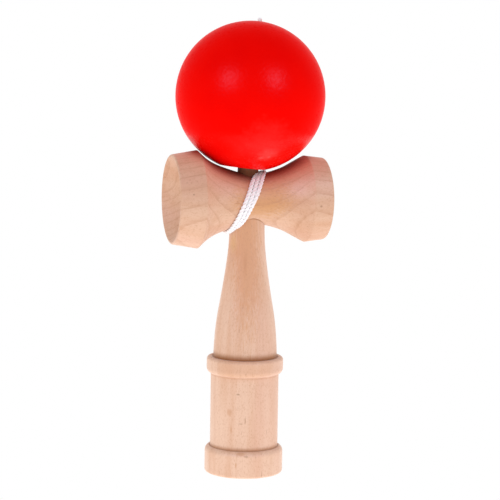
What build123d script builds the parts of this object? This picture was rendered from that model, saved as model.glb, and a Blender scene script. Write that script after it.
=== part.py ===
from build123d import *
import math
import os

# A kendama: a turned handle with a spike, a cross-piece with two cups, and a ball on a string.
# Millimetres. +Z is up along the handle, X runs along the cross-piece with the big cup at -X.
# The origin is the centre of the base's flat rim, on the surface that the toy stands on.

# Ball
BALL_RADIUS = 30.0
BALL_X = 0.53                    # it leans on the big cup's flare, a little off the handle's axis
BALL_Z = 152.45
BALL_TILT = 6.0                  # degrees that its own axis leans, with the top towards the small cup
BALL_HOLE_RADIUS = 8.5
BALL_HOLE_BEVEL = 0.85
BALL_HOLE_STRAIGHT_END = 12.5    # above its centre, where the straight wall runs into a 45 degree cone
STRING_HOLE_RADIUS = 1.5
STRING_HOLE_BEVEL = 0.6

# Handle, heights from the base
BASE_RING_RADIUS = 15.87
BASE_RING_TOP = 10.85
BASE_BOTTOM_ROUND = 1.0
BODY_RADIUS = 13.77
WAIST_RING_RADIUS = 15.5
WAIST_RING_BOTTOM = 40.5
WAIST_RING_TOP = 47.36
WAIST_LOWER_ROUND = 2.4
WAIST_UPPER_ROUND = 1.14
SHOULDER = [
    (12.88, 47.36), (12.3, 58.0), (11.58, 64.0), (10.15, 72.3), (8.92, 80.0), (7.6, 90.0), (7.15, 97.0),
]
SHOULDER_START_SLOPE = -0.01     # change of radius for each mm of height, where the shoulder starts
SHOULDER_END_SLOPE = -0.03       # and where it runs into the neck
NECK_TOP_RADIUS = 7.0
BASE_CUP_MOUTH_RADIUS = 12.2
BASE_CUP_DEPTH = 6.5
SPIKE_ROOT_RADIUS = 4.3
SPIKE_TIP_RADIUS = 2.2
SPIKE_TIP_Z = 157.5

# Cross-piece, turned about a line through AXIS_Z. The profile runs from the big cup's shoulder over
# the waist to the small cup's shoulder, as x and radius.
AXIS_Z = 111.28
HALF_LENGTH = 31.5
CROSS_PROFILE = [
    (-21.25, 19.6), (-16.5, 15.65), (-8.0, 12.05), (0.0, 10.08), (6.0, 10.33), (14.5, 12.78), (23.6, 17.48),
]
BIG_FLARE_SLOPE = -1.0           # change of radius for each mm along X, at the big cup's shoulder
SMALL_FLARE_SLOPE = 0.5
WAIST_RADIUS = 10.0
BIG_RIM_RADIUS = 18.0
BIG_CUP_MOUTH_RADIUS = 17.0
BIG_CUP_DEPTH = 8.5
SMALL_RIM_RADIUS = 16.65
SMALL_CUP_MOUTH_RADIUS = 14.8
SMALL_CUP_DEPTH = 6.2
RIM_ROUND = 0.8

# Joint between the handle and the cross-piece
SOCKET_TOP = 105.9               # the handle's neck stops here, against the socket's end
TENON_BOTTOM_RADIUS = 5.2
TENON_TOP_Z = 120.7
SOCKET_FIT = 0.03                # play of the neck in its socket
CUT_MARGIN = 2.0                 # how far each cut runs on past the surface that it opens

# String, bead and knots
STRING_DIAMETER = 1.5
ANCHOR_LENGTH = 7.9              # from inside its knot out to the winding
WINDING_WIDTH = 3.6              # three turns, crowded together beside the spike and the neck
WINDING_GAP = 0.1                # between the wood and the string wound round it
WINDING_SLOPE = 0.755            # how far the winding leans along X for each mm of height
WINDING_X = -1.15                # where its middle crosses the cross-piece's axis
SLEEVE_REACH = 0.85              # share of the profile that the winding's sleeve is cut from
WINDING_BALL_GAP = 0.3           # left between the winding and the ball
ANCHOR_HOLE_RADIUS = 1.15
ANCHOR_HOLE_TURN = 21.0          # the string hole slants from the back towards the big cup
KNOT_RADIUS = 1.9
ANCHOR_KNOT_DEPTH = 2.9          # of the knot's centre, out from the handle's axis
POCKET_FLOOR = 0.7
POCKET_RADIUS = 2.3
BEAD_RADIUS = 4.0
BEAD_HOLE_RADIUS = 1.0
BEAD_GAP = 0.3                   # between the bead and the cone it hangs under
KNOT_BITE = 0.1                  # how far the knot is drawn into the bead's hole
KNOT_HOLD = 0.5                  # how far from its middle each knot holds the string's end
TAIL_TOP = 26.2                  # above the ball's centre, where the free string takes over

# The free string's route, from the winding up behind the ball, over its top and into its hole
RISER_ROUTE = [
    (1.6, 11.0, 112.9),
    (6.2, 13.5, 120.1),
    (7.1, 23.7, 130.4),
    (10.4, 28.9, 143.1),
    (12.05, 29.45, 156.8),
    (11.55, 24.5, 169.7),
    (8.85, 14.75, 179.0),
    (5.95, 6.05, 182.5),
    (3.78, 0.0, 183.38),
    (3.55, 0.0, 181.19),
    (3.27, 0.0, 178.51),
]

ARC_SHARE = 0.45                 # share of a run that the arc at its end takes up

STRING_RADIUS = STRING_DIAMETER / 2
BALL_PLACE = Location((BALL_X, 0, BALL_Z), (0, BALL_TILT, 0))
os.makedirs("parts", exist_ok=True)


def revolved(outline_edges, axis):
    """A solid of revolution from a closed outline in the XZ plane."""
    return revolve(make_face(Wire(outline_edges)), axis)


def point(radius, height):
    return Vector(radius, 0, height)


def line(start, end):
    return Edge.make_line(start, end)


def arc(start, middle, end):
    return Edge.make_three_point_arc(start, middle, end)


def quarter_round(start, end, bulge):
    """A quarter circle from start to end; bulge is the corner that it rounds off."""
    centre = start + end - bulge
    radius = (start - centre).length
    middle = centre + (bulge - centre).normalized() * radius
    return arc(start, middle, end)


def cup_sphere_radius(mouth_radius, depth):
    return (mouth_radius**2 + depth**2) / (2 * depth)


def neck_radius(z):
    """The handle's neck, from the shoulder's end up to the cross-piece."""
    last_radius, last_z = SHOULDER[-1]
    share = (z - last_z) / (SOCKET_TOP - last_z)
    return last_radius + share * (NECK_TOP_RADIUS - last_radius)


def tenon_radius(z):
    """The taper of the tenon inside the cross-piece."""
    share = (z - SOCKET_TOP) / (TENON_TOP_Z - SOCKET_TOP)
    return TENON_BOTTOM_RADIUS + share * (SPIKE_ROOT_RADIUS - TENON_BOTTOM_RADIUS)


def string_hole_direction():
    turn = math.radians(ANCHOR_HOLE_TURN)
    return Vector(-math.sin(turn), math.cos(turn), 0)


def string_hole_plane(distance):
    """A plane across the string hole, that far out from the handle's axis."""
    outwards = string_hole_direction()
    return Plane(origin=Vector(0, 0, AXIS_Z) + outwards * distance, z_dir=outwards)


def make_handle():
    """Base cup, base ring, grip, waist ring, shoulder, tenon and spike, turned in one piece."""
    cup_top = point(0, BASE_CUP_DEPTH)
    cup_mouth = point(BASE_CUP_MOUTH_RADIUS, 0)
    cup_radius = cup_sphere_radius(BASE_CUP_MOUTH_RADIUS, BASE_CUP_DEPTH)
    cup_angle = math.asin(BASE_CUP_MOUTH_RADIUS / cup_radius) / 2
    cup_centre_z = BASE_CUP_DEPTH - cup_radius
    cup_middle = point(cup_radius * math.sin(cup_angle), cup_centre_z + cup_radius * math.cos(cup_angle))

    rim_edge = point(BASE_RING_RADIUS - BASE_BOTTOM_ROUND, 0)
    base_low = point(BASE_RING_RADIUS, BASE_BOTTOM_ROUND)
    base_step = BASE_RING_RADIUS - BODY_RADIUS
    base_high = point(BASE_RING_RADIUS, BASE_RING_TOP - base_step)
    body_low = point(BODY_RADIUS, BASE_RING_TOP)

    waist_low = point(WAIST_RING_RADIUS, WAIST_RING_BOTTOM + WAIST_LOWER_ROUND)
    lower_centre = waist_low - Vector(WAIST_LOWER_ROUND, 0, 0)
    body_high_angle = math.asin((BODY_RADIUS - lower_centre.X) / WAIST_LOWER_ROUND)

    def on_lower_round(angle):
        return lower_centre + Vector(math.sin(angle), 0, -math.cos(angle)) * WAIST_LOWER_ROUND

    body_high = on_lower_round(body_high_angle)
    waist_low_middle = on_lower_round((body_high_angle + math.pi / 2) / 2)
    waist_high = point(WAIST_RING_RADIUS, WAIST_RING_TOP - WAIST_UPPER_ROUND)
    waist_flat = point(WAIST_RING_RADIUS - WAIST_UPPER_ROUND, WAIST_RING_TOP)

    shoulder_points = [point(radius, height) for radius, height in SHOULDER]
    shoulder = Edge.make_spline(
        shoulder_points,
        tangents=[Vector(SHOULDER_START_SLOPE, 0, 1), Vector(SHOULDER_END_SLOPE, 0, 1)],
    )
    neck_end = point(NECK_TOP_RADIUS, SOCKET_TOP)
    tenon_low = point(TENON_BOTTOM_RADIUS, SOCKET_TOP)
    spike_root = point(SPIKE_ROOT_RADIUS, TENON_TOP_Z)
    spike_high = point(SPIKE_TIP_RADIUS, SPIKE_TIP_Z - SPIKE_TIP_RADIUS)
    tip = point(0, SPIKE_TIP_Z)
    tip_corner = point(SPIKE_TIP_RADIUS, SPIKE_TIP_Z)

    outline = [
        arc(cup_top, cup_middle, cup_mouth),
        line(cup_mouth, rim_edge),
        quarter_round(rim_edge, base_low, point(BASE_RING_RADIUS, 0)),
        line(base_low, base_high),
        quarter_round(base_high, body_low, point(BASE_RING_RADIUS, BASE_RING_TOP)),
        line(body_low, body_high),
        arc(body_high, waist_low_middle, waist_low),
        line(waist_low, waist_high),
        quarter_round(waist_high, waist_flat, point(WAIST_RING_RADIUS, WAIST_RING_TOP)),
        line(waist_flat, shoulder_points[0]),
        shoulder,
        line(shoulder_points[-1], neck_end),
        line(neck_end, tenon_low),
        line(tenon_low, spike_root),
        line(spike_root, spike_high),
        quarter_round(spike_high, tip, tip_corner),
        line(tip, cup_top),
    ]
    turned = revolved(outline, Axis.Z)
    pocket_length = TENON_BOTTOM_RADIUS + CUT_MARGIN - POCKET_FLOOR
    return turned - Solid.make_cylinder(POCKET_RADIUS, pocket_length, string_hole_plane(POCKET_FLOOR))


def profile_edge(offset, reach=1.0):
    """The profile from shoulder to shoulder, offset outwards; reach below 1 cuts both ends short."""
    whole = Edge.make_spline(
        [Vector(x, 0, radius + offset) for x, radius in CROSS_PROFILE],
        tangents=[Vector(1, 0, BIG_FLARE_SLOPE), Vector(1, 0, SMALL_FLARE_SLOPE)],
    )
    return whole.trim((1 - reach) / 2, (1 + reach) / 2)


def cup_arc(x_mouth, mouth_radius, depth, inward):
    """A cup's profile from its bottom, on the axis, out to its mouth."""
    sphere_radius = cup_sphere_radius(mouth_radius, depth)
    angle = math.asin(mouth_radius / sphere_radius)
    bottom_x = x_mouth + inward * depth
    centre_x = bottom_x - inward * sphere_radius
    middle = Vector(
        centre_x + inward * sphere_radius * math.cos(angle / 2), 0, sphere_radius * math.sin(angle / 2)
    )
    return arc(Vector(bottom_x, 0, 0), middle, Vector(x_mouth, 0, mouth_radius))


def make_cross_piece():
    """Both cups and the waist, turned along X, with the tapered socket that the handle goes through."""
    profile = profile_edge(0)
    big_end, small_end = -HALF_LENGTH, HALF_LENGTH
    big_lip = Vector(big_end, 0, BIG_RIM_RADIUS - RIM_ROUND)
    big_edge = Vector(big_end + RIM_ROUND, 0, BIG_RIM_RADIUS)
    small_lip = Vector(small_end, 0, SMALL_RIM_RADIUS - RIM_ROUND)
    small_edge = Vector(small_end - RIM_ROUND, 0, SMALL_RIM_RADIUS)
    big_cup = cup_arc(big_end, BIG_CUP_MOUTH_RADIUS, BIG_CUP_DEPTH, 1)
    small_cup = cup_arc(small_end, SMALL_CUP_MOUTH_RADIUS, SMALL_CUP_DEPTH, -1)
    outline = [
        big_cup,
        line(big_cup @ 1, big_lip),
        quarter_round(big_lip, big_edge, Vector(big_end, 0, BIG_RIM_RADIUS)),
        line(big_edge, profile @ 0),
        profile,
        line(profile @ 1, small_edge),
        quarter_round(small_edge, small_lip, Vector(small_end, 0, SMALL_RIM_RADIUS)),
        line(small_lip, small_cup @ 1),
        small_cup,
        line(small_cup @ 0, big_cup @ 0),
    ]
    turned = revolved(outline, Axis.X).moved(Location((0, 0, AXIS_Z)))
    socket_bottom = SOCKET_TOP - WAIST_RADIUS
    socket = Solid.make_cone(
        neck_radius(socket_bottom) + SOCKET_FIT,
        NECK_TOP_RADIUS + SOCKET_FIT,
        SOCKET_TOP - socket_bottom,
        Plane(origin=(0, 0, socket_bottom)),
    )
    bore_top = AXIS_Z + WAIST_RADIUS + CUT_MARGIN
    bore = Solid.make_cone(
        TENON_BOTTOM_RADIUS,
        tenon_radius(bore_top),
        bore_top - SOCKET_TOP,
        Plane(origin=(0, 0, SOCKET_TOP)),
    )
    string_hole = Solid.make_cylinder(
        ANCHOR_HOLE_RADIUS, WAIST_RADIUS + 2 * CUT_MARGIN, string_hole_plane(0)
    )
    return turned - socket - bore - string_hole


def make_ball():
    """A sphere with a wide drilled hole from below and a narrow string hole through its top."""
    def on_sphere(radius, above):
        return point(radius, above * math.sqrt(BALL_RADIUS**2 - radius**2))

    cone_top = BALL_HOLE_STRAIGHT_END + BALL_HOLE_RADIUS - STRING_HOLE_RADIUS
    mouth_outer = on_sphere(BALL_HOLE_RADIUS + BALL_HOLE_BEVEL, -1)
    mouth_inner = point(BALL_HOLE_RADIUS, mouth_outer.Z + BALL_HOLE_BEVEL)
    top_outer = on_sphere(STRING_HOLE_RADIUS + STRING_HOLE_BEVEL, 1)
    top_inner = point(STRING_HOLE_RADIUS, top_outer.Z - STRING_HOLE_BEVEL)
    straight_end = point(BALL_HOLE_RADIUS, BALL_HOLE_STRAIGHT_END)
    cone_end = point(STRING_HOLE_RADIUS, cone_top)
    outline = [
        arc(mouth_outer, point(BALL_RADIUS, 0), top_outer),
        line(top_outer, top_inner),
        line(top_inner, cone_end),
        line(cone_end, straight_end),
        line(straight_end, mouth_inner),
        line(mouth_inner, mouth_outer),
    ]
    return revolved(outline, Axis.Z).moved(BALL_PLACE)


def bead_height():
    """The bead's centre above the ball's, under the cone it hangs in."""
    cone_apex = BALL_HOLE_STRAIGHT_END + BALL_HOLE_RADIUS
    return cone_apex - (BEAD_RADIUS + BEAD_GAP) * math.sqrt(2)


def bead_knot_height():
    """The knot's centre above the ball's, drawn up against the lower end of the bead's hole."""
    return bead_height() - BEAD_RADIUS - KNOT_RADIUS + KNOT_BITE


def make_bead():
    """The stop bead that keeps the string from pulling out through the ball's top."""
    sphere = Solid.make_sphere(BEAD_RADIUS, Plane(origin=(0, 0, bead_height())), -90, 90, 360)
    below = Plane(origin=(0, 0, bead_height() - BEAD_RADIUS - CUT_MARGIN))
    bead = sphere - Solid.make_cylinder(BEAD_HOLE_RADIUS, 2 * (BEAD_RADIUS + CUT_MARGIN), below)
    return bead.moved(BALL_PLACE)


def ball_of_string(centre):
    return Solid.make_sphere(KNOT_RADIUS, Plane(origin=centre), -90, 90, 360)


def make_tail():
    """The string's end inside the ball, from its top hole through the bead to the knot."""
    start = Plane(origin=(0, 0, bead_knot_height() + KNOT_HOLD))
    return Solid.make_cylinder(STRING_RADIUS, TAIL_TOP - start.origin.Z, start).moved(BALL_PLACE)


def make_anchor():
    """The string's other end, from its knot in the tenon out through the back of the waist."""
    start = string_hole_plane(ANCHOR_KNOT_DEPTH + KNOT_HOLD)
    return Solid.make_cylinder(STRING_RADIUS, ANCHOR_LENGTH, start)


def make_winding():
    """The turns of string round the waist, over it beside the spike and under it beside the neck."""
    def swollen(offset):
        profile = profile_edge(offset, reach=SLEEVE_REACH)
        start, end = profile @ 0, profile @ 1
        return revolved(
            [
                profile,
                line(end, Vector(end.X, 0, 0)),
                line(Vector(end.X, 0, 0), Vector(start.X, 0, 0)),
                line(Vector(start.X, 0, 0), start),
            ],
            Axis.X,
        )

    sleeve = swollen(WINDING_GAP + STRING_DIAMETER) - swollen(WINDING_GAP)
    lean = math.degrees(math.atan(WINDING_SLOPE))
    reach = HALF_LENGTH
    corner = Plane(origin=(-WINDING_WIDTH / 2, -reach, -reach))
    slab = Solid.make_box(WINDING_WIDTH, 2 * reach, 2 * reach, corner)
    slab = slab.rotate(Axis.Y, lean).moved(Location((WINDING_X, 0, 0)))
    turns = (sleeve & slab).moved(Location((0, 0, AXIS_Z)))
    around_ball = Solid.make_sphere(BALL_RADIUS + WINDING_BALL_GAP, Plane.XY, -90, 90, 360)
    inside_hole = Solid.make_cylinder(
        BALL_HOLE_RADIUS - WINDING_BALL_GAP,
        BALL_RADIUS + CUT_MARGIN,
        Plane(origin=(0, 0, -BALL_RADIUS - CUT_MARGIN)),
    )
    return turns - (around_ball - inside_hole).moved(BALL_PLACE)


def route_radii(points):
    """Each corner's arc: a fixed share of its shorter run, divided by the tangent of half the turn."""
    radii = []
    for before, corner, after in zip(points, points[1:], points[2:]):
        run_in, run_out = corner - before, after - corner
        half_turn = math.radians(run_in.get_angle(run_out)) / 2
        radii.append(ARC_SHARE * min(run_in.length, run_out.length) / math.tan(half_turn))
    return radii


def make_riser():
    """The free string, from the winding up round the back of the ball and into its top hole."""
    points = [Vector(*spot) for spot in RISER_ROUTE]
    radii = route_radii(points)
    path = FilletPolyline(*points, radius=radii)
    start = Plane(origin=path @ 0, z_dir=path % 0)
    tube = sweep(start * Circle(STRING_RADIUS), path=path)
    expected = math.pi * STRING_RADIUS**2 * path.length
    print("riser length", round(path.length, 1), "radii", [round(radius, 1) for radius in radii])
    print("riser volume", round(tube.volume, 2), "expected", round(expected, 2))
    return tube


parts = {
    "handle": make_handle(),
    "cross_piece": make_cross_piece(),
    "ball": make_ball(),
    "bead": make_bead(),
    "bead_knot": ball_of_string((0, 0, bead_knot_height())).moved(BALL_PLACE),
    "anchor_knot": ball_of_string(string_hole_plane(ANCHOR_KNOT_DEPTH).origin),
    "string_anchor": make_anchor(),
    "string_winding": make_winding(),
    "string_riser": make_riser(),
    "string_tail": make_tail(),
}

for name, solid in parts.items():
    export_step(solid, f"parts/{name}.step")
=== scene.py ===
import math

import bpy
import numpy as np
from mathutils import Matrix, Vector


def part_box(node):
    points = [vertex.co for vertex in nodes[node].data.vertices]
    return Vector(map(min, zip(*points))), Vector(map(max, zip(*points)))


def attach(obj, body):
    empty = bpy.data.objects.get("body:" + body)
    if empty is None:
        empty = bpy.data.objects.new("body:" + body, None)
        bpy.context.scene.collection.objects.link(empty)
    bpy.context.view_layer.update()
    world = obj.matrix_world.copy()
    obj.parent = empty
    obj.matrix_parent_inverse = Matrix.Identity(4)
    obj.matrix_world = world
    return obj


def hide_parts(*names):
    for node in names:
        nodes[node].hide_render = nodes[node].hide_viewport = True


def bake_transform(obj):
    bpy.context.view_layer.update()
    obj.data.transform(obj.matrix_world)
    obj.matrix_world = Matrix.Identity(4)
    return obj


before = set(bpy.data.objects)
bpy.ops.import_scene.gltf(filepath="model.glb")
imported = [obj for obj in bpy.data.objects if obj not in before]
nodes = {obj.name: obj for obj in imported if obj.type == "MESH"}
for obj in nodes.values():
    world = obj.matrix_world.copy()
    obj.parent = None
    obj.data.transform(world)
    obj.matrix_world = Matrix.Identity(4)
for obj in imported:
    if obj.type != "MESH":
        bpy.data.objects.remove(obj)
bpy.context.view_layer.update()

MM = 0.001

# ---------------------------------------------------------------- places read from the frame
cross_low, cross_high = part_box("cross_piece")
ball_low, ball_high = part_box("ball")
AXIS_Z = (cross_low[2] + cross_high[2]) / 2
CUP_MOUTH_X = cross_high[0]
BALL_RADIUS = (ball_high[0] - ball_low[0]) / 2
BALL_CENTRE = Vector(((ball_low[0] + ball_high[0]) / 2, 0, ball_high[2] - BALL_RADIUS))
BALL_TILT = math.radians(6.0)           # its own axis leans this far, with the top towards +X
BALL_AXIS = Vector((math.sin(BALL_TILT), 0, math.cos(BALL_TILT)))

# ---------------------------------------------------------------- camera
CAMERA_AZIMUTH = math.radians(15.247)   # from straight in front towards the big cup
CAMERA_DISTANCE = 0.7148
CAMERA_HEIGHT = 0.17114
CAMERA_TILT = math.radians(6.424)
CAMERA_PAN = math.radians(0.107)
CAMERA_ROLL = math.radians(0.932)
CAMERA_LENS = 128.41
SENSOR_WIDTH = 36.0
TOWARDS_CAMERA = Vector((-math.sin(CAMERA_AZIMUTH), -math.cos(CAMERA_AZIMUTH), 0))


def make_camera():
    """A long lens level with the ball's upper half, looking slightly down."""
    data = bpy.data.cameras.new("camera")
    data.lens = CAMERA_LENS
    data.sensor_width = SENSOR_WIDTH
    camera = bpy.data.objects.new("camera", data)
    bpy.context.scene.collection.objects.link(camera)
    heading = CAMERA_AZIMUTH + CAMERA_PAN
    forward = Vector((
        math.sin(heading) * math.cos(CAMERA_TILT),
        math.cos(heading) * math.cos(CAMERA_TILT),
        -math.sin(CAMERA_TILT),
    ))
    level_right = Vector((math.cos(heading), -math.sin(heading), 0))
    level_up = level_right.cross(forward)
    right = level_right * math.cos(CAMERA_ROLL) + level_up * math.sin(CAMERA_ROLL)
    up = level_up * math.cos(CAMERA_ROLL) - level_right * math.sin(CAMERA_ROLL)
    turned = Matrix((right, up, -forward)).transposed().to_4x4()
    place = TOWARDS_CAMERA * CAMERA_DISTANCE
    place.z = CAMERA_HEIGHT
    camera.matrix_world = Matrix.Translation(place) @ turned
    bpy.context.scene.camera = camera


# ---------------------------------------------------------------- the string's route
STRING_DIAMETER = 1.5 * MM
TURNS = 3
POINTS_PER_TURN = 16
STRING_GAP = 0.05 * MM                  # between the string and the wood it is wound on
WINDING_MIDDLE_X = -1.85 * MM
WINDING_LEAN = 5.4 * MM                 # how far the turns lean along X, up and down
PAST_SPIKE = 2.85 * MM                  # the extra step round the spike's root
PAST_NECK = 1.30 * MM                   # and round the handle's neck
SPACING_OPEN = 1.85 * MM                # along X between the turns at the front and back
SPACING_TOP = 1.15 * MM                 # where they crowd beside the spike
SPACING_BELOW = 0.9 * MM                # and beside the neck
MIDDLE_TURN_RISE = 0.8 * MM             # the middle turn rides up over its neighbours there
CROWDING_SHARPNESS = 14
FLATTENED = 0.86                        # thickness of the wound string, as a share of its diameter
PRESSED = 0.74                          # and on top of the waist, where the ball comes down on it
PRESSING_SHARPNESS = 6
WIDENED = 1.24                          # width of the wound string where it has room
NOT_OUTSIDE = 9.0 * MM                  # the cross-piece's outside is nowhere as thin as this

HOLE_TURN = math.radians(21.0)          # the string hole slants from the back towards the big cup
HOLE_OUTWARDS = Vector((-math.sin(HOLE_TURN), math.cos(HOLE_TURN), 0))
KNOT_DEPTH = 2.9 * MM
EXIT_DISTANCE = 11.4 * MM
KNOT_PLACE = HOLE_OUTWARDS * KNOT_DEPTH + Vector((0, 0, AXIS_Z))
EXIT = HOLE_OUTWARDS * EXIT_DISTANCE + Vector((0, 0, AXIS_Z))

# The free string's route, as the CAD has it: up round the back of the ball and into its top hole
RISER_ROUTE = [
    (6.2, 13.5, 120.1),
    (7.1, 23.7, 130.4),
    (10.4, 28.9, 143.1),
    (12.05, 29.45, 156.8),
    (11.55, 24.5, 169.7),
    (8.85, 14.75, 179.0),
    (5.95, 6.05, 182.5),
    (3.78, 0.0, 183.38),
    (3.55, 0.0, 181.19),
    (3.27, 0.0, 178.51),
]


def cross_piece_profile():
    """The places along X where the cross-piece's mesh has vertices, and its outer radius there."""
    vertices = np.array([vertex.co[:] for vertex in nodes["cross_piece"].data.vertices])
    radii = np.hypot(vertices[:, 1], vertices[:, 2] - AXIS_Z)
    places, inverse = np.unique(np.round(vertices[:, 0], 4), return_inverse=True)
    outermost = np.zeros(len(places))
    np.maximum.at(outermost, inverse, radii)
    outside = outermost > NOT_OUTSIDE
    return places[outside], outermost[outside]


PROFILE_X, PROFILE_RADIUS = cross_piece_profile()


def crowding(height):
    """0 at the front and back of the waist, rising to 1 right on top of it and right below it."""
    return np.abs(height) ** CROWDING_SHARPNESS


def thickness_share(height):
    """How much of its own thickness the wound string keeps, at each height round the waist."""
    return FLATTENED + (PRESSED - FLATTENED) * np.clip(height, 0, 1) ** PRESSING_SHARPNESS


def wound_point(turn):
    """A control point of the winding: turn 0 is at the back, 0.25 on top, 0.5 in front, 0.75 below."""
    angle = 2 * math.pi * turn
    height = math.sin(angle)
    past = PAST_SPIKE if height > 0 else -PAST_NECK
    crowded_spacing = SPACING_TOP if height > 0 else SPACING_BELOW
    spacing = SPACING_OPEN + (crowded_spacing - SPACING_OPEN) * crowding(height)
    middle = WINDING_MIDDLE_X + WINDING_LEAN * height + past * crowding(height)
    x = middle + (turn - TURNS / 2) * spacing
    surface = np.interp(x, PROFILE_X, PROFILE_RADIUS)
    radius = surface + STRING_GAP + thickness_share(height) * STRING_DIAMETER / 2
    if 1 < turn < 2 and height < 0:
        radius += MIDDLE_TURN_RISE * crowding(height)
    # the spline passes this much inside the circle that its control points are on
    radius /= 0.75 + 0.25 * math.cos(2 * math.pi / POINTS_PER_TURN)
    return Vector((x, radius * math.cos(angle), AXIS_Z + radius * height))


def string_route():
    """From the knot in the tenon, three turns round the waist and up over the ball into its top hole."""
    steps = TURNS * POINTS_PER_TURN
    points = [KNOT_PLACE, KNOT_PLACE.lerp(EXIT, 0.55), EXIT]
    points += [wound_point(step / POINTS_PER_TURN) for step in range(1, steps + 1)]
    points += [Vector(spot) * MM for spot in RISER_ROUTE]
    return points


def smooth_line(points, resolution):
    """The points that a NURBS spline with these control points passes through."""
    curve = bpy.data.curves.new("route", "CURVE")
    curve.dimensions = "3D"
    curve.resolution_u = resolution
    spline = curve.splines.new("NURBS")
    spline.points.add(len(points) - 1)
    for control, place in zip(spline.points, points):
        control.co = (*place, 1)
    spline.order_u = 3
    spline.use_endpoint_u = True
    holder = bpy.data.objects.new("route", curve)
    mesh = bpy.data.meshes.new_from_object(holder)
    line = np.array([vertex.co[:] for vertex in mesh.vertices])
    bpy.data.objects.remove(holder)
    bpy.data.curves.remove(curve)
    bpy.data.meshes.remove(mesh)
    return line


# ---------------------------------------------------------------- meshes along a line
def unit_rows(rows):
    """Each row scaled to a length of 1."""
    return rows / np.linalg.norm(rows, axis=1)[:, None]


def lengths_along(line):
    """How far along the line each of its points is."""
    return np.concatenate([[0], np.cumsum(np.linalg.norm(np.diff(line, axis=0), axis=1))])


def evenly_spaced(line, step):
    """The same line, with its points an even distance apart."""
    along = lengths_along(line)
    wanted = np.linspace(0, along[-1], int(along[-1] / step) + 1)
    return np.stack([np.interp(wanted, along, line[:, axis]) for axis in range(3)], axis=1)


def twist_free_frames(line):
    """Two directions across the line at each of its points, carried along without twisting."""
    tangents = unit_rows(np.gradient(line, axis=0))
    across = np.cross(tangents[0], (1.0, 0.0, 0.1))
    firsts = []
    for tangent in tangents:
        across = across - tangent * np.dot(across, tangent)
        across /= np.linalg.norm(across)
        firsts.append(across)
    firsts = np.array(firsts)
    return firsts, np.cross(tangents, firsts)


def add_piece(name, vertices, faces):
    """A smooth-shaded mesh object in the scene."""
    mesh = bpy.data.meshes.new(name)
    mesh.from_pydata([tuple(vertex) for vertex in vertices], [], faces)
    mesh.validate()
    mesh.update()
    for polygon in mesh.polygons:
        polygon.use_smooth = True
    piece = bpy.data.objects.new(name, mesh)
    bpy.context.scene.collection.objects.link(piece)
    return piece


def tube_mesh(line, radius, sides, first, second, start_index=0, closed=False):
    """Rings of vertices round a line and the faces between them; an open tube gets flat ends."""
    count = len(line)
    angles = np.linspace(0, 2 * math.pi, sides, endpoint=False)
    ring = (
        np.cos(angles)[None, :, None] * first[:, None, :]
        + np.sin(angles)[None, :, None] * second[:, None, :]
    )
    vertices = (line[:, None, :] + ring * radius).reshape(-1, 3)
    faces = []
    for row in range(count if closed else count - 1):
        near = start_index + row * sides
        far = start_index + (row + 1) % count * sides
        for side in range(sides):
            after = (side + 1) % sides
            faces.append((near + side, near + after, far + after, far + side))
    if not closed:
        last = start_index + (count - 1) * sides
        faces.append(tuple(start_index + side for side in reversed(range(sides))))
        faces.append(tuple(last + side for side in range(sides)))
    return vertices, faces


# ---------------------------------------------------------------- the string and its knots
PLIES = 3
PLY_PITCH = 5.2 * MM
PLY_SHARE = 0.29                        # a ply's radius, as a share of the string's diameter
YARNS = 3                               # thinner yarns twisted into each ply
YARN_PITCH = 2.3 * MM
YARN_SHARE = 0.55                       # a yarn's radius, as a share of its ply's
YARN_SIDES = 6
STRAND_STEP = 0.3 * MM
ROUTE_RESOLUTION = 24
WOUND_WITHIN = 2.2 * MM                 # the string is round where it is further than this off the wood
WOUND_FADE = 1.2 * MM                   # and flattens over this much of the way down to it

KNOT_HEIGHT = 9.02 * MM                 # centre of the bead's knot above the ball's centre
KNOT_RADIUS = 1.85 * MM
KNOT_TUBE = 0.55 * MM
KNOT_RISE = 1.6                         # of its loops along its axis, for each unit across
KNOT_STEPS = 96
KNOT_SIDES = 10
TAIL_TOP = 26.2 * MM                    # heights along the ball's axis, above its centre
TAIL_BOTTOM = 9.4 * MM


def turned_pair(first, second, angles):
    """Two directions turned together by an angle at each point."""
    cosines, sines = np.cos(angles)[:, None], np.sin(angles)[:, None]
    return cosines * first + sines * second, cosines * second - sines * first


def twisted_strands(line, laid=None):
    """Vertices and faces of three plies, each of three yarns, twisted round the line."""
    first, second = twist_free_frames(line)
    along = lengths_along(line)
    ply_radius = PLY_SHARE * STRING_DIAMETER
    yarn_radius = YARN_SHARE * ply_radius
    vertices, faces = [], []
    for ply in range(PLIES):
        ply_turn = 2 * math.pi * (along / PLY_PITCH + ply / PLIES)
        outwards, sideways = turned_pair(first, second, ply_turn)
        ply_line = line + outwards * (STRING_DIAMETER / 2 - ply_radius)
        for yarn in range(YARNS):
            yarn_turn = -2 * math.pi * (along / YARN_PITCH + yarn / YARNS)
            yarn_outwards, yarn_sideways = turned_pair(outwards, sideways, yarn_turn)
            yarn_line = ply_line + yarn_outwards * (ply_radius - yarn_radius)
            start = sum(len(strand) for strand in vertices)
            strand, strand_faces = tube_mesh(
                yarn_line, yarn_radius, YARN_SIDES, yarn_outwards, yarn_sideways, start,
            )
            if laid:
                strand = laid(strand.reshape(len(line), -1, 3)).reshape(-1, 3)
            vertices.append(strand)
            faces += strand_faces
    return np.concatenate(vertices), faces


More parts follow.
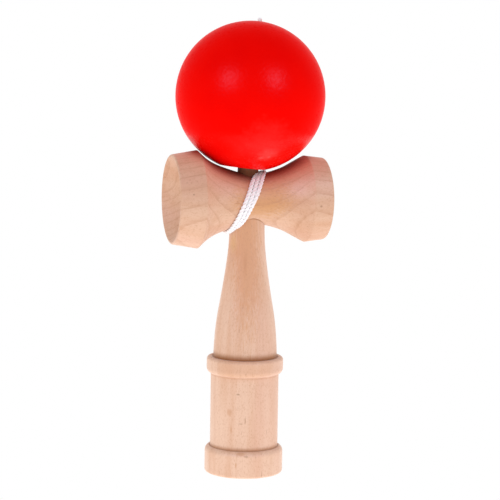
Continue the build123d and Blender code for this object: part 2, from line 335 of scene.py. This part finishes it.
def flattened_on_wood(line):
    """A function that presses the wound stretch of a tube round the line flat against the wood."""
    outwards = np.stack([np.zeros(len(line)), line[:, 1], line[:, 2] - AXIS_Z], axis=1)
    distance = np.linalg.norm(outwards, axis=1)
    outwards = unit_rows(outwards)
    height = outwards[:, 2]
    surface = np.interp(line[:, 0], PROFILE_X, PROFILE_RADIUS)
    off_its_place = np.abs(distance - surface - STRING_DIAMETER / 2)
    wound = np.clip((WOUND_WITHIN - off_its_place) / WOUND_FADE, 0, 1)
    thickness = (1 + (thickness_share(height) - 1) * wound)[:, None, None]
    width = (1 + (WIDENED - 1) * wound * (1 - crowding(height)))[:, None, None]

    def laid(rings):
        spread = rings - line[:, None, :]
        depth = (spread * outwards[:, None, :]).sum(axis=2, keepdims=True) * outwards[:, None, :]
        return line[:, None, :] + (spread - depth) * width + depth * thickness

    return laid


def make_string():
    """The whole string outside the ball, and the line it follows."""
    line = evenly_spaced(smooth_line(string_route(), ROUTE_RESOLUTION), STRAND_STEP)
    return add_piece("string", *twisted_strands(line, flattened_on_wood(line))), line


def make_tail():
    """The string inside the ball, straight down from its top hole through the bead to the knot."""
    steps = int((TAIL_TOP - TAIL_BOTTOM) / STRAND_STEP)
    heights = np.linspace(TAIL_TOP, TAIL_BOTTOM, steps)
    line = np.array([(BALL_CENTRE + BALL_AXIS * float(height))[:] for height in heights])
    return add_piece("tail", *twisted_strands(line))


def make_knot(name, centre, axis):
    """An overhand knot drawn tight round the given axis."""
    turns = np.linspace(0, 2 * math.pi, KNOT_STEPS, endpoint=False)
    reach = (KNOT_RADIUS - KNOT_TUBE) / 3
    local = np.stack([
        reach * (np.sin(turns) + 2 * np.sin(2 * turns)),
        reach * (np.cos(turns) - 2 * np.cos(2 * turns)),
        -KNOT_RISE * reach * np.sin(3 * turns),
    ], axis=1)
    turned = np.array(Vector((0, 0, 1)).rotation_difference(axis).to_matrix())
    line = local @ turned.T + np.array(centre)
    tangents = unit_rows(np.roll(line, -1, axis=0) - np.roll(line, 1, axis=0))
    outwards = line - np.array(centre)
    outwards -= tangents * (outwards * tangents).sum(axis=1, keepdims=True)
    outwards = unit_rows(outwards)
    sideways = np.cross(tangents, outwards)
    return add_piece(name, *tube_mesh(line, KNOT_TUBE, KNOT_SIDES, outwards, sideways, closed=True))


# ---------------------------------------------------------------- node graphs
class Graph:
    """A node tree made with short calls that take plain values or other nodes' outputs."""

    def __init__(self, tree):
        self.tree = tree
        self.coordinates = self.node("TexCoord").outputs

    def fill(self, socket, value):
        if isinstance(value, bpy.types.NodeSocket):
            self.tree.links.new(value, socket)
        elif socket.type == "RGBA":
            socket.default_value = (*value, 1)
        else:
            socket.default_value = value

    def fill_all(self, node, values):
        for name, value in values.items():
            self.fill(node.inputs[name], value)

    def node(self, kind, values=None, **settings):
        """A new node with its settings and the values of its sockets, by name or by number."""
        node = self.tree.nodes.new("ShaderNode" + kind)
        for name, setting in settings.items():
            setattr(node, name, setting)
        self.fill_all(node, values or {})
        return node

    def calc(self, operation, first, second=0.0, third=0.0):
        return self.node("Math", {0: first, 1: second, 2: third}, operation=operation).outputs[0]

    def vector(self, operation, first, second):
        return self.node("VectorMath", {0: first, 1: second}, operation=operation).outputs["Vector"]

    def length(self, vector):
        return self.node("VectorMath", {0: vector}, operation="LENGTH").outputs["Value"]

    def part(self, letter, vector):
        return self.node("SeparateXYZ", {0: vector}).outputs[letter]

    def noise(self, vector, scale, detail=2.0, roughness=0.5):
        values = {"Vector": vector, "Scale": scale, "Detail": detail, "Roughness": roughness}
        return self.node("TexNoise", values).outputs["Fac"]

    def between(self, value, low, high, out_low=0.0, out_high=1.0):
        """A smooth step from out_low at low to out_high at high."""
        values = {"Value": value, "From Min": low, "From Max": high, "To Min": out_low, "To Max": out_high}
        return self.node("MapRange", values, interpolation_type="SMOOTHSTEP").outputs["Result"]

    def mix(self, share, under, over, blend="MIX"):
        values = {"Factor": share, "A": under, "B": over}
        return self.node("Mix", values, data_type="RGBA", blend_type=blend).outputs["Result"]

    def bump(self, height, distance, strength):
        values = {"Height": height, "Distance": distance, "Strength": strength}
        return self.node("Bump", values).outputs["Normal"]

    def finish(self, values):
        """Fill the material's own shader."""
        self.fill_all(self.tree.nodes["Principled BSDF"], values)

    def show(self, output, seen, lit):
        """Let the camera see one shader, and everything else be lit by the other."""
        camera_ray = self.node("LightPath").outputs["Is Camera Ray"]
        choice = self.node("MixShader", {0: camera_ray, 1: lit.outputs[0], 2: seen.outputs[0]})
        self.fill(self.tree.nodes[output].inputs["Surface"], choice.outputs[0])


def new_material(name):
    """An empty material and the graph to fill it with."""
    material = bpy.data.materials.new(name)
    material.use_nodes = True
    return material, Graph(material.node_tree)


# ---------------------------------------------------------------- wood
PALE_WOOD = (0.845, 0.565, 0.415)
WARM_WOOD = (0.765, 0.46, 0.305)
LINE_WOOD = (0.58, 0.29, 0.165)
PINK_WOOD = (0.83, 0.52, 0.40)
FLECK_WOOD = (0.36, 0.17, 0.09)
WOOD_GLOSS = 0.12
GLOSS_UNDER_PAINTED_SHADE = 0.02

# How far each pattern is drawn out along the trunk, as a share of its scale across it
TRUNK_STRETCH = 0.12
FIBRE_STRETCH = 0.035
SPECKLE_STRETCH = 0.6
PORE_STRETCH = 0.09

# Noise scales, in features to the metre
RING_WANDER = 38.0
RING_RIPPLE = 210.0
MOTTLING = 130.0
PATCHES = 55.0
STREAKS = 2600.0
BROAD_STREAKS = 620.0
SPECKLE = 1700.0
PORES = 1900.0


def ring_lines(graph, position, trunk, across, pith, spacing):
    """0 over most of each growth ring, rising sharply to 1 at its dark late wood."""
    from_pith = graph.vector("MULTIPLY", graph.vector("SUBTRACT", position, pith), across)
    ring = graph.calc("DIVIDE", graph.length(from_pith), spacing)
    ring = graph.calc("MULTIPLY_ADD", graph.noise(trunk, RING_WANDER), 2.6, ring)
    ring = graph.calc("MULTIPLY_ADD", graph.noise(trunk, RING_RIPPLE), 0.35, ring)
    phase = graph.calc("FRACT", ring)
    late = graph.calc("MULTIPLY", graph.between(phase, 0.35, 0.93), graph.between(phase, 0.95, 1.0, 1.0, 0.0))
    return graph.calc("POWER", late, 6.0)


def make_wood(name, along, pith, ring_spacing, line_strength, tint, sheen, marks=(), shade=None):
    """Fine pale wood: rings round a pith line, fibre streaks, mottling and small dark flecks.

    along is the axis the fibres follow; pith is a point on the middle of the tree; tint colours
    the whole piece; each mark is a place, its reach along and across the fibres, a colour and a
    strength; shade paints shade and reflected light onto the piece, and says where it dulls it.
    """
    material, graph = new_material(name)
    position = graph.coordinates["Object"]
    along = Vector(along)
    across = Vector((1, 1, 1)) - along

    def drawn_out(stretch):
        return graph.vector("MULTIPLY", position, along * stretch + across)

    trunk, fibre = drawn_out(TRUNK_STRETCH), drawn_out(FIBRE_STRETCH)
    lines = ring_lines(graph, position, trunk, across, pith, ring_spacing)
    lines = graph.calc("MULTIPLY", lines, line_strength)
    streaks = graph.noise(fibre, STREAKS, 3.0, 0.6)
    broad_streaks = graph.noise(fibre, BROAD_STREAKS, 3.0, 0.6)
    mottling = graph.noise(trunk, MOTTLING, 4.0, 0.6)
    patches = graph.noise(trunk, PATCHES)
    speckle = graph.noise(drawn_out(SPECKLE_STRETCH), SPECKLE, 3.0, 0.75)
    fleck = graph.between(graph.noise(drawn_out(PORE_STRETCH), PORES, 1.0), 0.735, 0.79)
    uneven_edge = graph.calc("SUBTRACT", streaks, 0.5)

    colour = graph.mix(graph.between(mottling, 0.36, 0.68), PALE_WOOD, WARM_WOOD)
    colour = graph.mix(graph.between(patches, 0.5, 0.72, 0.0, 0.55), colour, PINK_WOOD)
    for place, reach_along, reach_across, mark_colour, strength in marks:
        squeeze = along / reach_along + across / reach_across
        offset = graph.vector("MULTIPLY", graph.vector("SUBTRACT", position, place), squeeze)
        distance = graph.calc("MULTIPLY_ADD", uneven_edge, 1.2, graph.length(offset))
        colour = graph.mix(graph.between(distance, 0.3, 1.0, strength, 0.0), colour, mark_colour)
    colour = graph.mix(graph.between(broad_streaks, 0.5, 0.74, 0.0, 0.12), colour, LINE_WOOD)
    colour = graph.mix(graph.between(streaks, 0.52, 0.8, 0.0, 0.14), colour, LINE_WOOD)
    uneven_lines = graph.calc("MULTIPLY", lines, graph.between(broad_streaks, 0.3, 0.7, 0.55, 1.0))
    colour = graph.mix(uneven_lines, colour, LINE_WOOD)
    colour = graph.mix(graph.between(speckle, 0.48, 0.72, 0.0, 0.48), colour, LINE_WOOD)
    colour = graph.mix(graph.calc("MULTIPLY", fleck, 0.55), colour, FLECK_WOOD)

    gloss = WOOD_GLOSS
    # painted shade and reflected light go into the colour, and the painted shade lowers gloss and sheen
    if shade:
        colour, painted_shade = shade(graph, position, colour, uneven_edge)
        gloss = graph.calc("MULTIPLY_ADD", painted_shade, GLOSS_UNDER_PAINTED_SHADE - WOOD_GLOSS, WOOD_GLOSS)
        sheen = graph.calc("MULTIPLY_ADD", painted_shade, -sheen, sheen)
    height = graph.calc("MULTIPLY_ADD", streaks, 0.5, graph.calc("MULTIPLY", lines, -0.5))
    height = graph.calc("MULTIPLY_ADD", fleck, -0.8, height)
    graph.finish({
        "Base Color": graph.mix(1.0, colour, tint, "MULTIPLY"),
        "Roughness": graph.between(mottling, 0.3, 0.7, 0.5, 0.64),
        "Specular IOR Level": gloss,
        "Sheen Weight": sheen,
        "Normal": graph.bump(height, 0.05 * MM, 0.7),
    })
    return material


# ---------------------------------------------------------------- painted shade and painted red light on the wood
# Painted shade and painted red bounce light, as colours
CREASE_SHADE = (0.42, 0.175, 0.062)
SPIKE_SHADE = (0.17, 0.045, 0.014)
CUP_SHADE = (0.66, 0.38, 0.20)
RED_BOUNCE_PINK = (0.73, 0.335, 0.225)
RED_CONTACT_SHADE = (0.32, 0.036, 0.018)
WAIST_RADIUS = 10.05 * MM
NECK_SEAM_REACH = 0.55 * MM
SPIKE_ROOT_Z = 121.0 * MM
SHADED_HEIGHT = 11 * MM                 # how far up the spike its root is painted dark, a painted shade under the ball
CUP_SHADE_DEPTH = 9.0 * MM

# Each turned crease's height, how far its painted shade reaches up and down, its widest radius, its strength
CREASES = (
    (47.5 * MM, 2.9 * MM, 13.8 * MM, 1.0),
    (40.4 * MM, 0.8 * MM, 14.0 * MM, 0.35),
    (10.9 * MM, 1.8 * MM, 14.5 * MM, 0.7),
)


def from_cross_axis(graph, position):
    """The distance from the cross-piece's own axis."""
    offset = graph.vector("SUBTRACT", position, (0.0, 0.0, AXIS_Z))
    return graph.length(graph.vector("MULTIPLY", offset, (0.0, 1.0, 1.0)))


def shade_handle(graph, position, colour, uneven_edge):
    """Painted shade in the turned creases, where the neck enters the cross-piece and round the spike's root
    under the ball.
    """
    height = graph.part("Z", position)
    uneven_height = graph.calc("MULTIPLY_ADD", uneven_edge, 0.8 * MM, height)
    radius = graph.length(graph.vector("MULTIPLY", position, (1.0, 1.0, 0.0)))
    # a painted shade band darkens each turned crease
    for level, reach, widest, strength in CREASES:
        distance = graph.calc("ABSOLUTE", graph.calc("SUBTRACT", uneven_height, level))
        inside = graph.between(radius, widest - 0.5 * MM, widest, strength, 0.0)
        shade_share = graph.calc("MULTIPLY", inside, graph.between(distance, 0.0, reach, 1.0, 0.0))
        colour = graph.mix(shade_share, colour, CREASE_SHADE)
    # a painted shade line where the neck enters the cross-piece
    seam_end = WAIST_RADIUS + NECK_SEAM_REACH
    seam = graph.between(from_cross_axis(graph, position), WAIST_RADIUS, seam_end, 0.75, 0.0)
    colour = graph.mix(seam, colour, CREASE_SHADE)
    # the spike's root is painted dark: painted shade under the ball, where it rests
    above_root = graph.between(height, SPIKE_ROOT_Z - 3 * MM, SPIKE_ROOT_Z - 2 * MM)
    shaded_up_spike = graph.between(height, SPIKE_ROOT_Z, SPIKE_ROOT_Z + SHADED_HEIGHT, 0.95, 0.0)
    shade_share = graph.calc("MULTIPLY", above_root, shaded_up_spike)
    return graph.mix(shade_share, colour, SPIKE_SHADE), shade_share


def shade_cross_piece(graph, position, colour, uneven_edge):
    """Painted red light bounced off the ball onto the wood and painted contact shade, darkest where the two
    nearly touch, and painted shade deep in the cups.
    """
    # painted pink: the ball's red light bounced onto the wood near it
    to_centre = graph.length(graph.vector("SUBTRACT", position, BALL_CENTRE))
    to_ball = graph.calc("SUBTRACT", to_centre, BALL_RADIUS)
    to_ball = graph.calc("MULTIPLY_ADD", uneven_edge, 2.0 * MM, to_ball)
    colour = graph.mix(graph.between(to_ball, 3.0 * MM, 10.0 * MM, 0.6, 0.0), colour, RED_BOUNCE_PINK)
    # painted shade deep in each cup
    from_middle = graph.calc("ABSOLUTE", graph.part("X", position))
    deep = graph.between(from_middle, CUP_MOUTH_X - CUP_SHADE_DEPTH, CUP_MOUTH_X, 0.22, 0.0)
    slope = graph.calc("DIVIDE", from_cross_axis(graph, position), from_middle)
    in_cup = graph.between(slope, 0.45, 0.55, 1.0, 0.0)
    colour = graph.mix(graph.calc("MULTIPLY", deep, in_cup), colour, CUP_SHADE)
    # painted contact shade, red with the ball's bounced light, where ball and wood nearly touch
    painted_shade = graph.between(to_ball, 1.0 * MM, 6.5 * MM, 0.95, 0.0)
    return graph.mix(painted_shade, colour, RED_CONTACT_SHADE), painted_shade


# ---------------------------------------------------------------- lacquer and cotton
RED = (0.95, 0.0015, 0.0002)
DEEP_RED = (0.91, 0.0010, 0.0002)
PALE_RED = (0.92, 0.02, 0.012)
# pale pink of the painted reflections low on the ball's front
REFLECTION_PINK = (0.93, 0.075, 0.07)
LACQUER_GLOSS = 0.008
POLISH_GLOSS = 0.035
POLISH_BELOW = -13.0 * MM               # the ball is rubbed glossy where it lands in the cups
POLISH_FADES_AT = -9.5 * MM
POLISH_UNEVENNESS = 9.0 * MM
BARE_BELOW = 0.75 * MM                  # deeper under the ball's surface than this, the wood is bare
LACQUER_ABOVE = 0.35 * MM               # and shallower than this, it is lacquered

# Each painted reflection's place from the ball's centre, its reach and its strength: pale patches that stand
# in for the white string and wood reflected low on the ball's front
BALL_PAINTED_REFLECTIONS = (
    ((-0.0004, -0.0186, -0.0235), 1.6 * MM, 0.55),
    ((0.0027, -0.0189, -0.0231), 1.0 * MM, 0.55),
    ((0.0020, -0.0200, -0.0222), 5.5 * MM, 0.35),
    ((0.0, -0.0245, -0.0172), 13.0 * MM, 0.16),
)
STRING_WHITE = (0.95, 0.925, 0.945)
STRING_SHADE = (0.74, 0.68, 0.78)


def make_lacquer():
    """Red lacquer over the ball's outside, with bare wood inside its hole."""
    material, graph = new_material("red_lacquer")
    offset = graph.vector("SUBTRACT", graph.coordinates["Object"], BALL_CENTRE)
    outside = graph.between(graph.length(offset), BALL_RADIUS - BARE_BELOW, BALL_RADIUS - LACQUER_ABOVE)
    cloud = graph.noise(offset, 60.0, 3.0)
    brush = graph.noise(offset, 900.0)
    worn = graph.noise(offset, 420.0, 4.0, 0.7)
    red = graph.mix(graph.between(cloud, 0.35, 0.7), RED, DEEP_RED)
    red = graph.mix(graph.between(worn, 0.70, 0.78, 0.0, 0.22), red, PALE_RED)
    # pale patches painted low on the ball's front: painted reflections of the white string and wood below it
    for place, reach, strength in BALL_PAINTED_REFLECTIONS:
        distance = graph.length(graph.vector("SUBTRACT", offset, place))
        distance = graph.calc("MULTIPLY_ADD", worn, reach, distance)
        red = graph.mix(graph.between(distance, reach * 0.6, reach * 1.5, strength, 0.0), red, REFLECTION_PINK)
    grain = graph.noise(graph.vector("MULTIPLY", offset, (1.0, 1.0, 0.05)), 1500.0, 3.0, 0.6)
    bore = graph.mix(grain, PALE_WOOD, LINE_WOOD)
    height = graph.calc("MULTIPLY_ADD", cloud, POLISH_UNEVENNESS, graph.part("Z", offset))
    polished = graph.between(height, POLISH_BELOW, POLISH_FADES_AT, 1.0, 0.0)
    brushed = graph.between(brush, 0.3, 0.7, 0.27, 0.33)
    roughness = graph.calc("SUBTRACT", brushed, graph.calc("MULTIPLY", polished, 0.05))
    graph.finish({
        "Base Color": graph.mix(outside, bore, red),
        "Roughness": graph.calc("ADD", roughness, graph.between(outside, 0.0, 1.0, 0.3, 0.0)),
        "Specular IOR Level": graph.calc("MULTIPLY_ADD", polished, POLISH_GLOSS, LACQUER_GLOSS),
        "Normal": graph.bump(graph.calc("MULTIPLY_ADD", brush, 1.3, cloud), 0.11 * MM, 0.7),
    })
    return material


def make_cotton():
    """White twisted cord with fine fibres and a faint violet tint in its hollows."""
    material, graph = new_material("string_cotton")
    fibres = graph.noise(graph.coordinates["Object"], 5200.0, 3.0, 0.7)
    dust = graph.noise(graph.coordinates["Object"], 480.0)
    colour = graph.mix(graph.between(fibres, 0.5, 0.78, 0.0, 0.55), STRING_WHITE, STRING_SHADE)
    colour = graph.mix(graph.between(dust, 0.55, 0.75, 0.0, 0.25), colour, STRING_SHADE)
    graph.finish({
        "Base Color": colour,
        "Roughness": graph.between(fibres, 0.3, 0.7, 0.75, 0.9),
        "Specular IOR Level": 0.2,
        "Sheen Weight": 0.25,
        "Normal": graph.bump(fibres, 0.06 * MM, 0.8),
    })
    return material


# ---------------------------------------------------------------- studio
WHITE = (1.0, 1.0, 1.0)
SOFTBOX_DISTANCE = 1.1
SOFTBOX_SIZE = 0.36
SOFTBOX_POWER = 26.0
SOFTBOX_TINT = (1.0, 0.86, 1.3)
SOFTBOX_RISE = math.radians(28)
SOFTBOX_TURNS = (math.radians(-35), math.radians(41))
LIT_MIDDLE = Vector((0, 0, 0.1))
FRONT_LIGHT = 0.80                      # the room behind the camera
SIDE_LIGHT = 1.02                       # white screens beside and behind the toy
CEILING_SHARE = 0.76                    # of the light above, against the same direction lower down
FLOOR_SIZE = 8.0
NEAR_FLOOR_LIGHT = 1.60                 # the white floor is brightest round the toy
FAR_FLOOR_LIGHT = 1.05
NEAR_REACH, FAR_REACH = 0.05, 0.45


def make_softboxes():
    """Two lamps that show only as reflections."""
    for turn in SOFTBOX_TURNS:
        bearing = CAMERA_AZIMUTH - turn
        direction = Vector((
            -math.sin(bearing) * math.cos(SOFTBOX_RISE),
            -math.cos(bearing) * math.cos(SOFTBOX_RISE),
            math.sin(SOFTBOX_RISE),
        ))
        data = bpy.data.lights.new("softbox", "AREA")
        data.shape = "SQUARE"
        data.size = SOFTBOX_SIZE
        data.energy = SOFTBOX_POWER
        data.color = SOFTBOX_TINT
        lamp = bpy.data.objects.new("softbox", data)
        lamp.visible_diffuse = False
        lamp.location = LIT_MIDDLE + direction * SOFTBOX_DISTANCE
        lamp.rotation_euler = direction.to_track_quat("Z", "Y").to_euler()
        bpy.context.scene.collection.objects.link(lamp)


def make_world():
    """A room of soft light, with a plain white backdrop for the camera."""
    world = bpy.data.worlds.new("studio")
    bpy.context.scene.world = world
    world.use_nodes = True
    graph = Graph(world.node_tree)
    direction = graph.coordinates["Generated"]
    facing = graph.node("VectorMath", {0: direction, 1: TOWARDS_CAMERA}, operation="DOT_PRODUCT")
    around = graph.between(facing.outputs["Value"], 0.25, 0.75, SIDE_LIGHT, FRONT_LIGHT)
    above = graph.between(graph.part("Z", direction), 0.35, 0.8, 1.0, CEILING_SHARE)
    room = graph.tree.nodes["Background"]
    graph.fill_all(room, {"Color": WHITE, "Strength": graph.calc("MULTIPLY", around, above)})
    graph.show("World Output", seen=graph.node("Background", {"Color": WHITE}), lit=room)


def make_floor():
    """A white floor that lights the toy from below, and is plain white to the camera."""
    side = FLOOR_SIZE / 2
    corners = [(-side, -side, 0), (side, -side, 0), (side, side, 0), (-side, side, 0)]
    floor = add_piece("floor", corners, [(0, 1, 2, 3)])
    material, graph = new_material("floor_white")
    graph.tree.nodes.remove(graph.tree.nodes["Principled BSDF"])
    reach = graph.length(graph.coordinates["Object"])
    glow = graph.between(reach, NEAR_REACH, FAR_REACH, NEAR_FLOOR_LIGHT, FAR_FLOOR_LIGHT)
    graph.show("Material Output", seen=graph.node("Emission"), lit=graph.node("Emission", {"Strength": glow}))
    floor.data.materials.append(material)


# ---------------------------------------------------------------- making the camera and the string
make_camera()
cord, line = make_string()
make_floor()
make_world()
make_softboxes()
bpy.context.scene.view_settings.view_transform = "Standard"

cotton = make_cotton()
tail = make_tail()
bead_knot = make_knot("knot_below_bead", BALL_CENTRE + BALL_AXIS * KNOT_HEIGHT, BALL_AXIS)
anchor_knot = make_knot("knot_in_tenon", KNOT_PLACE, HOLE_OUTWARDS)
for piece in (cord, tail, bead_knot, anchor_knot):
    piece.data.materials.append(cotton)

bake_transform(cord)
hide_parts("string_anchor", "string_winding", "string_riser")
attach(tail, "string_end")
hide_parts("string_tail")
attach(bead_knot, "string_end")
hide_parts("bead_knot")
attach(anchor_knot, "handle_body")
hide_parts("anchor_knot")

# ---------------------------------------------------------------- the wooden pieces' own materials
ALONG_X = (1.0, 0.0, 0.0)
ALONG_Z = (0.0, 0.0, 1.0)
# warmer and darker: partly the wood's own tone, partly painted shade under the cross-piece
NECK_TONE_AND_SHADE = (0.72, 0.365, 0.19)
ORANGE_STAIN = (0.62, 0.30, 0.15)
DARK_STAIN = (0.34, 0.17, 0.09)
HANDLE_MARKS = (
    # the neck's front is warmer and darker, partly the wood's own tone and partly painted shade under the
    # cross-piece, with a yellow patch and an orange streak
    ((-0.0020, -0.0080, 0.0930), 0.0620, 0.0080, NECK_TONE_AND_SHADE, 0.9),
    ((-0.0065, -0.0028, 0.0939), 0.0050, 0.0030, (0.78, 0.50, 0.22), 0.5),
    ((-0.0026, -0.0075, 0.0843), 0.0110, 0.0011, ORANGE_STAIN, 0.5),
    # the waist ring is warmer too
    ((-0.0040, -0.0150, 0.0440), 0.0060, 0.0150, (0.76, 0.43, 0.27), 0.6),
    # flecks, a hairline scratch and faint stains lower down
    ((0.0053, -0.0103, 0.0595), 0.0011, 0.0005, DARK_STAIN, 0.6),
    ((-0.0060, -0.0124, 0.0340), 0.0005, 0.0010, DARK_STAIN, 0.6),
    ((-0.0031, -0.0134, 0.0233), 0.0020, 0.0003, DARK_STAIN, 0.6),
    ((-0.0049, -0.0129, 0.0221), 0.0003, 0.0014, DARK_STAIN, 0.45),
    ((-0.0090, -0.0105, 0.0265), 0.0022, 0.0016, ORANGE_STAIN, 0.5),
    ((-0.0083, -0.0110, 0.0195), 0.0024, 0.0004, ORANGE_STAIN, 0.7),
    ((-0.0052, -0.0146, 0.0100), 0.0011, 0.0030, ORANGE_STAIN, 0.6),
    ((-0.0031, -0.0156, 0.0092), 0.0006, 0.0012, DARK_STAIN, 0.45),
    ((-0.0070, -0.0142, 0.0056), 0.0016, 0.0005, ORANGE_STAIN, 0.6),
)
CROSS_MARKS = (
    # the waist's front is warmer and darker, partly the wood's own tone and partly painted shade under the
    # ball
    ((0.0035, -0.0100, AXIS_Z + 0.0010), 0.0170, 0.0110, (0.74, 0.37, 0.145), 0.75),
    # a pink bloom on the small cup's rim
    ((0.0240, -0.0100, AXIS_Z + 0.0130), 0.0120, 0.0085, (0.76, 0.36, 0.27), 0.5),
    # small flecks
    ((-0.0266, -0.0185, AXIS_Z + 0.0034), 0.0006, 0.0005, DARK_STAIN, 0.6),
    ((-0.0215, -0.0101, AXIS_Z + 0.0167), 0.0007, 0.0006, DARK_STAIN, 0.6),
    ((-0.0071, -0.0118, AXIS_Z - 0.0005), 0.0013, 0.0009, ORANGE_STAIN, 0.6),
    ((0.0258, -0.0172, AXIS_Z - 0.0017), 0.0008, 0.0006, DARK_STAIN, 0.6),
)
finishes = {
    "handle": make_wood(
        "handle_wood", ALONG_Z, pith=(-0.035, 0.052, 0.0), ring_spacing=3.4 * MM, line_strength=0.08,
        tint=(0.90, 0.895, 0.90), sheen=0.28, marks=HANDLE_MARKS, shade=shade_handle,
    ),
    "cross_piece": make_wood(
        "cross_piece_wood", ALONG_X, pith=(0.0, 0.045, AXIS_Z + 0.042), ring_spacing=3.4 * MM,
        line_strength=0.38, tint=(0.865, 0.82, 0.79), sheen=0.16, marks=CROSS_MARKS,
        shade=shade_cross_piece,
    ),
    "ball": make_lacquer(),
    "bead": make_wood(
        "bead_wood", ALONG_Z, pith=(-0.012, 0.01, 0.0), ring_spacing=1.8 * MM, line_strength=0.5,
        tint=(0.95, 0.93, 0.88), sheen=0.2,
    ),
}
for name, material in finishes.items():
    for slot in nodes[name].material_slots:
        slot.material = material
